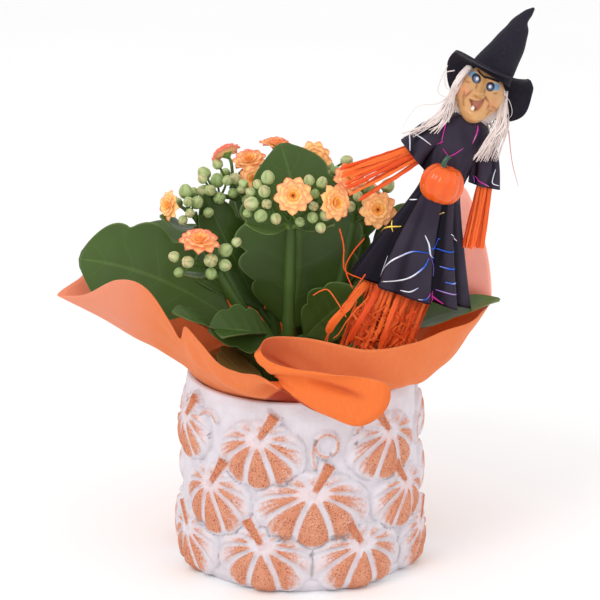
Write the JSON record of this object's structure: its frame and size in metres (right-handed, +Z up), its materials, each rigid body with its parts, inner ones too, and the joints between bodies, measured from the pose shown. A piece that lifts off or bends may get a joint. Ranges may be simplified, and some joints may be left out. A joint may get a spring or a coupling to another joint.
{
  "type": "potted kalanchoe",
  "caption": "Double-flowered kalanchoe in a pumpkin-moulded terracotta pot with an orange wrap sheet and a raffia witch on a stick.",
  "frame": {"origin": "centre of the pot's base, on the surface it stands on", "axes": "+Z up along the pot's axis, -Y towards the viewer of the picture, +X to the viewer's right"},
  "size_m": [0.2106, 0.1747, 0.2548],
  "materials": {
    "whitewashed_terracotta": "matt terracotta, rubbed with whitewash in the grooves, glitter on the ribs",
    "nursery_plastic": "thin brown polypropylene",
    "peat": "crumbly dark potting peat",
    "wrap_fabric": "orange non-woven sheet, soft matt, slightly see-through",
    "foliage": "fleshy waxy leaf, half gloss",
    "petals": "soft peach petal, yellow-orange inside, salmon at the edge",
    "black_satin": "black satin with thin foil lines",
    "hat_felt": "black felt",
    "painted_skin": "painted moulded plastic",
    "doll_hair": "white synthetic hair",
    "raffia": "orange raffia strips",
    "toy_paint": "glossy orange paint",
    "stalk_paint": "glossy dark green paint",
    "bamboo": "plain round stick"
  },
  "bodies": {
    "root": {"ceramic_pot": "whitewashed_terracotta", "nursery_pot": "nursery_plastic", "wrap_sheet": "wrap_fabric", "pick_stick": "bamboo", "witch_gown": "black_satin", "witch_head": "painted_skin", "witch_hat": "hat_felt", "witch_hair": "doll_hair", "witch_legs": "raffia", "witch_right_arm": "raffia", "witch_left_arm": "raffia", "toy_pumpkin": "toy_paint", "toy_pumpkin_stalk": "stalk_paint", "potting_soil": "peat", "flowering_stem_1": "foliage", "flowering_stem_2": "foliage", "flowering_stem_3": "foliage", "flowering_stem_4": "foliage", "flowering_stem_5": "foliage", "flowering_stem_6": "foliage", "flowering_stem_7": "foliage", "bloom_01": "petals", "bloom_02": "petals", "bloom_03": "petals", "bloom_04": "petals", "bloom_05": "petals", "bloom_06": "petals", "bloom_07": "petals", "bloom_08": "petals", "bloom_09": "petals", "bloom_10": "petals", "bloom_11": "petals", "bloom_12": "petals", "bloom_13": "petals", "bloom_14": "petals"}
  },
  "joints": []
}
